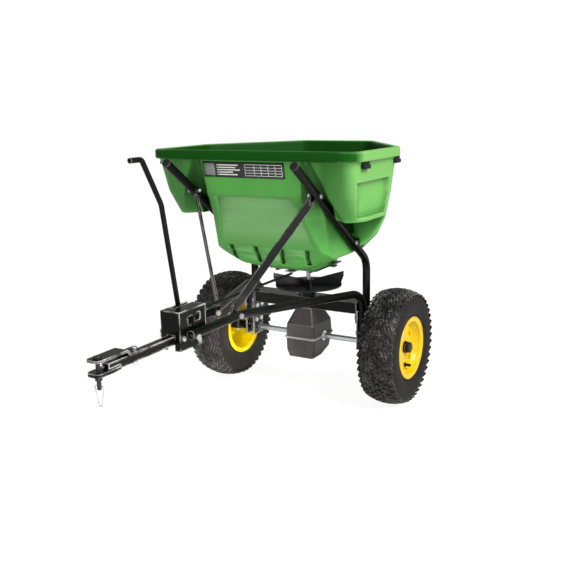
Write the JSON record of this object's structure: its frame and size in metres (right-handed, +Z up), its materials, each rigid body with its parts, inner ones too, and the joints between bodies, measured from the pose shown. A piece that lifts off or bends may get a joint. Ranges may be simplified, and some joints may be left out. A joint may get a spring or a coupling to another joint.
{
  "type": "tow-behind broadcast spreader",
  "caption": "Tow-behind broadcast spreader: moulded hopper on a bent-tube frame, axle-driven bevel gearbox and spinner, lever-worked shut-off gate and a pinned clevis hitch.",
  "frame": {"origin": "on the ground below the centre of the overall box, midway between the hitch's tip and the hopper's back", "axes": "+Z up, -Y ahead towards the hitch, +X the machine's left"},
  "size_m": [0.664, 1.117, 0.737],
  "materials": {
    "hopper_plastic": "moulded green polyethylene, satin",
    "tyre_rubber": "black tyre rubber, dull",
    "rim_paint": "gloss yellow enamel on pressed steel",
    "valve_rubber": "black rubber stem",
    "bush_nylon": "black nylon",
    "cap_plastic": "black moulded plastic",
    "gearbox_plastic": "black moulded housing",
    "spinner_plastic": "black moulded plastic",
    "gear_steel": "plain gear steel",
    "zinc": "zinc-plated steel",
    "frame_paint": "gloss black powder coat on steel"
  },
  "bodies": {
    "frame": {"hopper": "hopper_plastic", "outlet_plate": "zinc", "outlet_screws": "zinc", "control_bracket": "frame_paint", "lever_pivot_bolt": "zinc", "drawbar": "frame_paint", "hitch_strap": "frame_paint", "left_hopper_tube": "frame_paint", "right_hopper_tube": "frame_paint", "left_tube_plug": "cap_plastic", "right_tube_plug": "cap_plastic", "left_frame_tube": "frame_paint", "right_frame_tube": "frame_paint", "left_brace": "frame_paint", "right_brace": "frame_paint", "left_axle_bracket": "frame_paint", "right_axle_bracket": "frame_paint", "left_axle_bush": "bush_nylon", "right_axle_bush": "bush_nylon", "cross_channel": "frame_paint", "bracket_bolts": "zinc", "brace_bolts": "zinc", "hopper_bolts": "zinc", "drawbar_bolts": "zinc", "gearbox_upper": "gearbox_plastic", "gearbox_lower": "gearbox_plastic", "left_gearbox_bush": "bush_nylon", "right_gearbox_bush": "bush_nylon", "shaft_bush": "bush_nylon", "gearbox_bolts": "zinc"},
    "axle": {"axle": "zinc", "ring_gear": "gear_steel", "axle_collars": "frame_paint", "drive_pin": "zinc", "left_axle_cap": "cap_plastic", "right_axle_cap": "cap_plastic", "right_tyre": "tyre_rubber", "right_rim_outer": "rim_paint", "right_rim_inner": "rim_paint", "right_rim_bolts": "zinc", "right_valve": "valve_rubber", "right_hub": "frame_paint"},
    "left_wheel": {"left_tyre": "tyre_rubber", "left_rim_outer": "rim_paint", "left_rim_inner": "rim_paint", "left_rim_bolts": "zinc", "left_valve": "valve_rubber", "left_hub": "frame_paint", "left_hub_bushes": "bush_nylon"},
    "spinner": {"spinner_shaft": "zinc", "pinion_gear": "gear_steel", "spinner": "spinner_plastic", "agitator": "zinc"},
    "lever": {"flow_lever": "frame_paint"},
    "gate": {"shutoff_gate": "zinc", "linkage_rod": "zinc"},
    "hitch_pin": {"hitch_pin": "frame_paint"},
    "bail": {"hitch_bail": "zinc"}
  },
  "joints": [
    {"name": "axle_spin", "type": "hinge", "parent": "frame", "child": "axle", "pos_m": [0, 0.3535, 0.165], "axis": [1, 0, 0], "continuous": true},
    {"name": "left_wheel_spin", "type": "hinge", "parent": "frame", "child": "left_wheel", "pos_m": [0.279, 0.3535, 0.165], "axis": [1, 0, 0], "continuous": true},
    {"name": "spinner_spin", "type": "hinge", "parent": "frame", "child": "spinner", "pos_m": [0, 0.3535, 0.314], "axis": [0, 0, 1], "continuous": true},
    {"name": "lever_swing", "type": "hinge", "parent": "frame", "child": "lever", "pos_m": [-0.017, -0.2345, 0.308], "axis": [1, 0, 0], "range_deg": [-25, 10]},
    {"name": "gate_slide", "type": "slide", "parent": "frame", "child": "gate", "axis": [0, 1, 0], "range_m": [-0.0107, 0.0265]},
    {"name": "hitch_pin_lift", "type": "slide", "parent": "frame", "child": "hitch_pin", "axis": [0, 0, 1], "range_m": [0, 0.0035]},
    {"name": "bail_swing", "type": "hinge", "parent": "hitch_pin", "child": "bail", "pos_m": [0, -0.5395, 0.2878], "axis": [1, 0, 0], "range_deg": [-85, 85]}
  ],
  "couplings": [
    {"joint": "spinner_spin", "follows": "axle_spin", "ratio": -3},
    {"joint": "gate_slide", "follows": "lever_swing", "m_per_rad": -0.060456}
  ]
}
